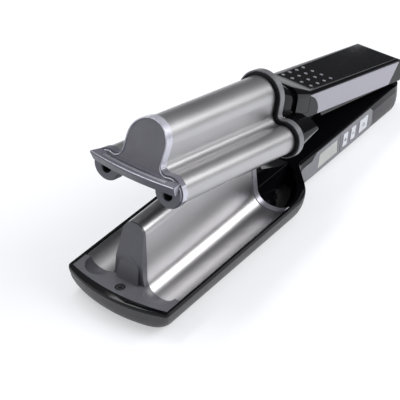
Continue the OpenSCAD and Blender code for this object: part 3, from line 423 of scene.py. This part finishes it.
def satin_metal(name, base, roughness):
    """Titanium-grey coated metal with a slightly uneven sheen."""
    made = Finish(name, base, roughness, metallic=1.0)
    made.tint(made.noise(45, detail=2), *varied(base, 0.025))
    made.uneven(made.noise(25, detail=1), roughness - 0.02, roughness + 0.03)
    return made.material


def satin_plastic(name, base, roughness, specular=0.5):
    """Moulded plastic with a fine spark-eroded grain."""
    made = Finish(name, base, roughness, specular=specular)
    made.tint(made.noise(90, detail=4), *varied(base, 0.06))
    made.uneven(made.noise(400), roughness - 0.05, roughness + 0.05)
    made.relief(made.noise(6000, detail=2), 0.012)
    return made.material


def gloss_plastic(name, base, roughness, specular=0.5):
    """Polished plastic with the faint waviness of a moulded gloss surface."""
    made = Finish(name, base, roughness, specular=specular)
    made.tint(made.noise(50), *varied(base, 0.15))
    made.uneven(made.noise(250, detail=5), roughness - 0.02, roughness + 0.04)
    made.relief(made.noise(160, detail=1), 0.004)
    return made.material


def lacquer(name, base, roughness):
    """Metallic lacquer with fine flake under a thin coat."""
    made = Finish(name, base, roughness, metallic=0.55, coat=0.25, coat_roughness=0.2)
    made.tint(made.noise(9000, detail=1), *varied(base, 0.12))
    made.uneven(made.noise(300), roughness - 0.04, roughness + 0.06)
    made.relief(made.noise(5000), 0.004)
    return made.material


def steel_finish(name, base, roughness):
    """Zinc-plated steel with drawn scratches and mottling."""
    made = Finish(name, base, roughness, metallic=1.0)
    made.tint(made.noise(700, detail=5), *varied(base, 0.1))
    made.uneven(made.noise(1500, stretch=(1, 0.1, 1)), roughness - 0.08, roughness + 0.1)
    made.relief(made.noise(3000, stretch=(1, 0.1, 1)), 0.006)
    return made.material


# ---- Properties ----
class WaverSizes(bpy.types.PropertyGroup):
    """Sizes that the scene adds to the model."""

    edge: FloatProperty(
        name="Edge rounding", description="Rounding of moulded edges",
        default=0.35 * MM, min=0.05 * MM, max=1.0 * MM, precision=5, unit="LENGTH")
    fine_edge: FloatProperty(
        name="Fine edge rounding", description="Rounding of the upper cap's edges",
        default=0.15 * MM, min=0.02 * MM, max=0.4 * MM, precision=5, unit="LENGTH")
    grip_edge: FloatProperty(
        name="Grip edge rounding", description="Rounding of the grip strip's and the grip dots' edges",
        default=0.05 * MM, min=0.02 * MM, max=0.4 * MM, precision=5, unit="LENGTH")
    floor_size: FloatProperty(
        name="Floor", description="Width of the floor", default=12.0, min=2.0, unit="LENGTH")
    floor_lift: FloatProperty(
        name="Floor lift", description="White that the floor adds for the viewer",
        default=0.45, min=0, max=1, subtype="FACTOR")


def colour_property(label, text, value):
    """A colour that the panel shows."""
    return FloatVectorProperty(
        name=label, description=text, subtype="COLOR", size=3, min=0, max=1, default=value)


class WaverColours(bpy.types.PropertyGroup):
    """Colours of the finishes."""

    titanium: colour_property("Titanium", "Plate and barrels", (0.47, 0.465, 0.475))
    casing: colour_property("Casing", "Lower casing", (0.035, 0.034, 0.040))
    cap: colour_property("Upper cap", "Cool-tip cap of the upper arm", (0.125, 0.122, 0.150))
    # Painted light: a lighter copy of the cap's colour, put on the cap faces that turn to the key light and on the
    # bright beads and grip teeth.
    cap_edge: colour_property("Cap painted light", "Lit rim and skirt of the upper cap", (0.60, 0.60, 0.68))
    nose: colour_property("Lower nose", "Nose cap of the lower arm", (0.105, 0.105, 0.120))
    black: colour_property("Black", "Gloss black plastic", (0.003, 0.003, 0.004))
    lilac: colour_property("Silver lilac", "Strips and bands", (0.36, 0.35, 0.40))
    band: colour_property("Band", "Edge of the heat flange", (0.20, 0.20, 0.215))
    panel: colour_property("Panel", "Control panel", (0.22, 0.22, 0.245))
    window: colour_property("Window", "Display window", (0.50, 0.51, 0.49))
    keys: colour_property("Keys", "Keys", (0.74, 0.76, 0.80))
    floor: colour_property("Floor", "Floor", (0.55, 0.56, 0.59))


def sizes():
    """The sizes as the panel has them."""
    return bpy.context.scene.waver_sizes


_finishes = {}


def finishes():
    """The finishes by name, made once from the colours as the panel has them: one for each slot, and those of
    pieces that differ from their slot's."""
    c = bpy.context.scene.waver_colours
    if not _finishes:
        _finishes.update(
            plate=satin_metal("titanium_satin", c.titanium, 0.36),
            casing=satin_plastic("casing_satin", c.casing, 0.42),
            nose_plastic=satin_plastic("nose_satin", c.nose, 0.34),
            cap=satin_plastic("cap_satin", c.cap, 0.38),
            # Painted highlight: the cap's colour made lighter, for its lit faces and bright lines.
            cap_edge=lacquer("cap_edge", c.cap_edge, 0.30),
            black_gloss=gloss_plastic("black_gloss", c.black, 0.07, specular=0.2),
            black_matt=satin_plastic("black_matt", (0.02, 0.02, 0.022), 0.55),
            shield=satin_plastic("shield_black", c.black, 0.45, specular=0.2),
            trim=lacquer("silver_lilac", c.lilac, 0.34),
            band=lacquer("band_grey", c.band, 0.38),
            panel=lacquer("panel_grey", c.panel, 0.36),
            window=gloss_plastic("window_pale", c.window, 0.12),
            keys=satin_plastic("key_pale", c.keys, 0.30),
            heater=steel_finish("heater_aluminium", (0.62, 0.62, 0.61), 0.4),
            ceramic=satin_plastic("ceramic_pale", (0.72, 0.70, 0.64), 0.6),
            board=satin_plastic("solder_mask", (0.02, 0.12, 0.05), 0.35),
            steel=steel_finish("plated_steel", (0.52, 0.52, 0.53), 0.32),
        )
    return _finishes


class MadePiece:
    """What every operator here shares."""

    bl_options = {"REGISTER", "UNDO"}


class WAVER_OT_camera(MadePiece, bpy.types.Operator):
    """Camera at the photograph's viewing angle"""

    bl_idname = "waver.camera"
    bl_label = "Camera"

    def execute(self, context):
        lens = bpy.data.cameras.new("camera")
        lens.sensor_width = SENSOR
        lens.lens = FOCAL_PX / IMAGE_PX * SENSOR
        lens.clip_start, lens.clip_end = 0.05, 50
        camera = bpy.data.objects.new("camera", lens)
        camera.location = CAMERA_PLACE
        camera.rotation_euler = (math.pi / 2 - CAMERA_DOWN, 0, CAMERA_TURN - math.pi / 2)
        context.scene.collection.objects.link(camera)
        context.scene.camera = camera
        return {"FINISHED"}


class WAVER_OT_stage(MadePiece, bpy.types.Operator):
    """Pale floor, soft boxes and the world's even light"""

    bl_idname = "waver.stage"
    bl_label = "Stage"

    def execute(self, context):
        self.floor()
        self.lights()
        self.world()
        context.scene.view_settings.view_transform = "Standard"
        return {"FINISHED"}

    def floor(self):
        """Square floor of pale paper, lifted to white for camera, glossy and transmission rays."""
        half = sizes().floor_size / 2
        corners = [(-half, -half, 0), (half, -half, 0), (half, half, 0), (-half, half, 0)]
        mesh = bpy.data.meshes.new("floor")
        mesh.from_pydata(corners, [], [(0, 1, 2, 3)])
        floor = bpy.data.objects.new("floor", mesh)
        bpy.context.scene.collection.objects.link(floor)
        paper = Finish("floor_paper", bpy.context.scene.waver_colours.floor, 0.7, specular=0.2)
        paper.uneven(paper.noise(3), 0.66, 0.74)
        lift = paper.add("ShaderNodeEmission")
        lift.inputs["Color"].default_value = colour((1, 1, 1))
        seen = paper.add("ShaderNodeLightPath")
        through = paper.add("ShaderNodeMath", operation="MAXIMUM")
        paper.link(seen.outputs["Is Camera Ray"], through.inputs[0])
        paper.link(seen.outputs["Is Transmission Ray"], through.inputs[1])
        strength = paper.add("ShaderNodeMath", operation="MAXIMUM")
        paper.link(through.outputs[0], strength.inputs[0])
        paper.link(seen.outputs["Is Glossy Ray"], strength.inputs[1])
        share = paper.add("ShaderNodeMath", operation="MULTIPLY")
        share.inputs[1].default_value = sizes().floor_lift
        paper.link(strength.outputs[0], share.inputs[0])
        paper.link(share.outputs[0], lift.inputs["Strength"])
        both = paper.add("ShaderNodeAddShader")
        paper.link(paper.shader.outputs["BSDF"], both.inputs[0])
        paper.link(lift.outputs["Emission"], both.inputs[1])
        paper.link(both.outputs[0], paper.tree.nodes["Material Output"].inputs["Surface"])
        mesh.materials.append(paper.material)

    def lights(self):
        """Rectangular area lamps, each turned to the middle of the tool."""
        for name, place, width, height, power in SOFTBOXES:
            lamp = bpy.data.lights.new(name, "AREA")
            lamp.shape = "RECTANGLE"
            lamp.size, lamp.size_y, lamp.energy = width, height, power
            light = bpy.data.objects.new(name, lamp)
            light.location = place
            light.rotation_euler = (Vector(place) - Vector(LIT_POINT)).to_track_quat("Z", "Y").to_euler()
            bpy.context.scene.collection.objects.link(light)

    def world(self):
        """Even light from all round, dim near the horizon and stronger overhead."""
        world = bpy.data.worlds.new("studio")
        bpy.context.scene.world = world
        world.use_nodes = True
        tree = world.node_tree
        sky = tree.nodes["Background"]
        sky.inputs["Color"].default_value = colour(SKY_COLOUR)
        way = tree.nodes.new("ShaderNodeTexCoord")
        split = tree.nodes.new("ShaderNodeSeparateXYZ")
        height = tree.nodes.new("ShaderNodeMapRange")
        height.interpolation_type = "SMOOTHSTEP"
        height.inputs["From Min"].default_value, height.inputs["From Max"].default_value = SKY_RISE
        height.inputs["To Min"].default_value = SKY_LOW
        height.inputs["To Max"].default_value = SKY_HIGH
        tree.links.new(way.outputs["Generated"], split.inputs["Vector"])
        tree.links.new(split.outputs["Z"], height.inputs["Value"])
        tree.links.new(height.outputs["Result"], sky.inputs["Strength"])


class WAVER_OT_finishes(MadePiece, bpy.types.Operator):
    """Finish of every model part that keeps its own shape"""

    bl_idname = "waver.finishes"
    bl_label = "Finishes"

    def execute(self, context):
        for name, node in frame["nodes"].items():
            blackened = name in ("barrel_end_plugs", "cap_screws", "nose_screw")
            finish = "black_matt" if blackened else slots()[name]
            node.data.materials.clear()
            node.data.materials.append(finishes()[finish])
        return {"FINISHED"}


class WAVER_OT_refine(MadePiece, bpy.types.Operator):
    """Rounded edges on the moulded parts"""

    bl_idname = "waver.refine"
    bl_label = "Moulded parts"

    def execute(self, context):
        finish = finishes()
        edge, fine_edge, grip_edge = sizes().edge, sizes().fine_edge, sizes().grip_edge
        for name in ("lower_housing", "lower_bezel", "lower_deck", "plate_trim_ring", "heat_bowl", "nose_cap",
                     "control_panel", "display_window", "button_plus", "button_minus", "button_power",
                     "upper_handle", "side_strip_left", "side_strip_right", "upper_inner_cover",
                     "cord_swivel", "swivel_seat"):
            refined(name, finish[slots()[name]], edge)
        refined("heat_shield", finish["shield"], edge)
        refined("flange_band", finish["band"], edge)
        for name in ("grip_strip", "grip_dots"):
            refined(name, finish[slots()[name]], grip_edge)
        # The cap's skirt and ledge ends take the lighter colour as painted light; the front face keeps the darker
        # cap colour.
        refined("upper_nose_cap", finish["cap"], fine_edge, second=(finish["cap_edge"], self.lit))
        return {"FINISHED"}

    def lit(self, face):
        """Faces of the cap's skirt and of the ledge's two ends, which take the lighter cap colour as painted
        light.

        On the shut arm they look sideways or up but not along the arm, and aren't the ledge's top."""
        along_most, up_least, level = 0.4, -0.3, 0.7
        way = shut(face.normal)
        place = shut(face.center - Vector((0, 0, HINGE_Z * MM))) / MM
        top_of_ledge = place[0] < LEDGE_REAR and way[2] > level
        return abs(way[0]) < along_most and way[2] > up_least and not top_of_ledge


class WAVER_OT_barrels(MadePiece, bpy.types.Operator):
    """Formed three-barrel shell of the upper arm"""

    bl_idname = "waver.barrels"
    bl_label = "Barrels"

    def execute(self, context):
        outer = barrel_half(0, 0)
        channel = arc((0, DOME_Z), DOME_R - SHELL_WALL, 0, 90, 30)
        half = np.concatenate([outer, [[DOME_R, LOBE_Z]], channel])
        ring = np.concatenate([half, mirrored(half)[1:-1]])
        front = SHELL_FRONT + np.maximum(0, ring[:, 1] - LEDGE_TOP) * math.tan(CAP_LEAN)
        bores = [arc((side * LOBE_Y, LOBE_Z), LOBE_R - SHELL_WALL, 0, 360, 48)[:-1] for side in (-1, 1)]
        outlines = [(ring, front)] + [(bore, np.full(len(bore), SHELL_FRONT)) for bore in bores]
        points, faces = drilled(outlines, SHELL_END)
        new_piece("barrels_formed", opened(points), faces, "upper_arm", "plate", finishes()["plate"],
                  replaces=("barrel_shell",))
        return {"FINISHED"}


class WAVER_OT_wave_plate(MadePiece, bpy.types.Operator):
    """Formed wave plate of the lower arm"""

    bl_idname = "waver.wave_plate"
    bl_label = "Wave plate"

    def execute(self, context):
        face, back = plate_half(0), plate_half(SHEET)
        back[:, 0] = np.minimum(back[:, 0], PLATE_HALF)
        ring = np.concatenate([face, mirrored(face), mirrored(back)[::-1], back[::-1]])
        rise = np.maximum(0, ring[:, 1] + TROUGH_DEPTH) / SEAM_RISE
        front = PLATE_X0 + SEAM / 2 + rise * (SEAM_TOP - PLATE_X0)
        loft("wave_plate_formed", at_rim(carried(ring, front, PLATE_X1)), body="lower_arm", slot="plate",
             material=finishes()["plate"], replaces=("wave_plate",))
        return {"FINISHED"}


class WAVER_OT_cap_lines(MadePiece, bpy.types.Operator):
    """Beads along the upper cap's rim and the ledge's lip, in the lighter cap colour as painted highlight lines"""

    bl_idname = "waver.cap_lines"
    bl_label = "Cap lines"

    def execute(self, context):
        self.rim_line(radius=0.38, behind_face=0.25)
        self.lip_line(radius=0.32, behind_lip=0.1, below_top=0.02, short_of_end=0.5)
        return {"FINISHED"}

    def rim_line(self, radius, behind_face):
        """Bead inside the cap's outline above the ledge, on the plane of its leaning face."""
        half = barrel_half(CAP_RIM - radius, LOBE_FRONT - radius)
        half = half[half[:, 1] > LEDGE_TOP]
        outline = np.concatenate([half[::-1] * [-1, 1], half[1:]])
        lean = CAP_X + (outline[:, 1] - LEDGE_TOP) * math.tan(CAP_LEAN) + behind_face
        rim = np.column_stack([lean, outline])
        # The rim bead's lighter colour is a painted highlight along the cap's rim.
        loft("cap_rim_highlight_line", opened(tube(rim, radius)), body="upper_arm", slot="nose_plastic",
             material=finishes()["cap_edge"])

    def lip_line(self, radius, behind_lip, below_top, short_of_end):
        """Bead along the ledge's bowed front, an arc through its middle and its two ends."""
        bow = (LEDGE_HALF ** 2 + LEDGE_BOW ** 2) / (2 * LEDGE_BOW)
        reach = math.degrees(math.asin((LEDGE_HALF - short_of_end) / bow))
        front = arc((LEDGE_X + bow, 0), bow - radius - behind_lip, 180 + reach, 180 - reach, 60)
        lip = np.column_stack([front, np.full(len(front), LEDGE_TOP - radius - below_top)])
        # The lip bead's lighter colour is a painted highlight along the ledge's lip.
        loft("ledge_lip_highlight_line", opened(tube(lip, radius)), body="upper_arm", slot="nose_plastic",
             material=finishes()["cap_edge"])


class WAVER_OT_grip_teeth(MadePiece, bpy.types.Operator):
    """Fine teeth of the ledge's grip strip, in the lighter cap colour as painted highlight"""

    bl_idname = "waver.grip_teeth"
    bl_label = "Grip teeth"

    def execute(self, context):
        teeth, height, length, behind_lip, sunk = 44, 0.28, 2.3, 2.9, 0.05
        half = LOBE_Y + 0.1
        y = (np.arange(teeth) + 0.5) / teeth * 2 * half - half
        half_width = half / teeth * 0.5
        bow = LEDGE_HALF ** 2 / (2 * LEDGE_BOW)
        front = LEDGE_X + behind_lip + bow - np.sqrt(bow ** 2 - y ** 2)
        middle = np.stack([front, y, np.full(teeth, LEDGE_TOP + sunk)], axis=-1)
        corner = np.array([(dx, dy, dz) for dz in (-height, 0)
                           for dx, dy in ((0, -1), (length, -1), (length, 1), (0, 1))])
        points = middle[:, None, :] + corner * [1, half_width, 1]
        box = np.array([(0, 3, 2, 1), (4, 5, 6, 7), (0, 1, 5, 4), (1, 2, 6, 5), (2, 3, 7, 6), (3, 0, 4, 7)])
        faces = (box[None] + len(corner) * np.arange(teeth)[:, None, None]).reshape(-1, 4).tolist()
        # The teeth take the lighter cap colour as a painted highlight on their tops.
        new_piece("grip_teeth", opened(points), faces, "upper_arm", "nose_plastic", finishes()["cap_edge"])
        return {"FINISHED"}


class WAVER_OT_wedge_lip(MadePiece, bpy.types.Operator):
    """Crescent lip over the thumb wedge of the lower nose"""

    bl_idname = "waver.wedge_lip"
    bl_label = "Wedge lip"

    def execute(self, context):
        radius, behind_face, past_level, face_setback = 0.35, 0.15, 5, 0.7
        over = arc((0, WEDGE_TOP - WEDGE_HALF), WEDGE_HALF - radius, -past_level, 180 + past_level, 48)
        slope = (FINGER_FOOT + face_setback - WEDGE_FOOT) / (WEDGE_TOP - NOSE_DECK)
        lip = np.column_stack([WEDGE_FOOT + (over[:, 1] - NOSE_DECK) * slope + behind_face, over])
        loft("wedge_lip", at_rim(tube(lip, radius)), body="lower_arm", slot="nose_plastic",
             material=finishes()["nose_plastic"])
        return {"FINISHED"}


class WAVER_OT_key_marks(MadePiece, bpy.types.Operator):
    """Plus, minus and power marks on the keys"""

    bl_idname = "waver.key_marks"
    bl_label = "Key marks"

    def execute(self, context):
        bodies = {"button_plus": "key_plus", "button_minus": "key_minus", "button_power": "key_power"}
        half_long, half_wide = 1.1, 0.25
        for node, body in bodies.items():
            low, high = span(node)
            middle = (low + high) / 2
            middle[1] = low[1]
            bars = [self.bar(middle, half_long, half_wide)]
            if node == "button_plus":
                bars.append(self.bar(middle, half_wide, half_long))
            if node == "button_power":
                self.ring(node, body, middle, half_long, half_wide / 2)
                bars = [self.bar(middle + [0, 0, half_long * 0.7], half_wide / 2, half_long * 0.55)]
            for k, bar in enumerate(bars):
                self.mark(f"{node}_mark_{k}", bar, body)
        return {"FINISHED"}

    def ring(self, node, body, middle, radius, line):
        """Open circle on a key's face: a bead round three quarters of a circle about the face's middle."""
        circle = arc((0, 0), radius, 130, 410, 28)
        path = np.column_stack([middle[0] + circle[:, 0], np.full(len(circle), middle[1]),
                                middle[2] + circle[:, 1]])
        self.mark(node + "_ring", tube(path, line), body)

    def bar(self, middle, half_x, half_z, thick=0.06):
        """Flat bar on a key's face: a rectangle carried through its thickness."""
        corners = np.array([(-half_x, -half_z), (half_x, -half_z), (half_x, half_z), (-half_x, half_z)])
        rings = [np.column_stack([middle[0] + corners[:, 0], np.full(4, y), middle[2] + corners[:, 1]])
                 for y in (middle[1] + thick, middle[1] - thick)]
        return np.array(rings)

    def mark(self, name, rings, body):
        """A mark that rides on its key."""
        loft(name, rings, body=body, slot="black_matt", material=finishes()["black_matt"])


class WAVER_PT_panel(bpy.types.Panel):
    """Lists the waver's sizes, colours and operators"""

    bl_label = "Hair Waver"
    bl_idname = "WAVER_PT_panel"
    bl_space_type = "VIEW_3D"
    bl_region_type = "UI"
    bl_category = "Hair Waver"

    def draw(self, context):
        """Lists every property, and a button for each operator."""
        for group in (context.scene.waver_sizes, context.scene.waver_colours):
            for name in group.__annotations__:
                self.layout.prop(group, name)
        for operator in OPERATORS:
            self.layout.operator(operator.bl_idname)


OPERATORS = (
    WAVER_OT_camera,
    WAVER_OT_stage,
    WAVER_OT_finishes,
    WAVER_OT_refine,
    WAVER_OT_barrels,
    WAVER_OT_wave_plate,
    WAVER_OT_cap_lines,
    WAVER_OT_grip_teeth,
    WAVER_OT_wedge_lip,
    WAVER_OT_key_marks,
)
CLASSES = (WaverSizes, WaverColours, *OPERATORS, WAVER_PT_panel)


def register():
    """Registers the classes and hangs the two property groups on the scene."""
    for made in CLASSES:
        bpy.utils.register_class(made)
    bpy.types.Scene.waver_sizes = PointerProperty(type=WaverSizes)
    bpy.types.Scene.waver_colours = PointerProperty(type=WaverColours)


def unregister():
    """Takes back what register did."""
    del bpy.types.Scene.waver_colours
    del bpy.types.Scene.waver_sizes
    for made in reversed(CLASSES):
        bpy.utils.unregister_class(made)


def main():
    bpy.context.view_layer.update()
    register()
    for operator in OPERATORS:
        group, name = operator.bl_idname.split(".")
        getattr(getattr(bpy.ops, group), name)()


if __name__ == "__main__":
    main()
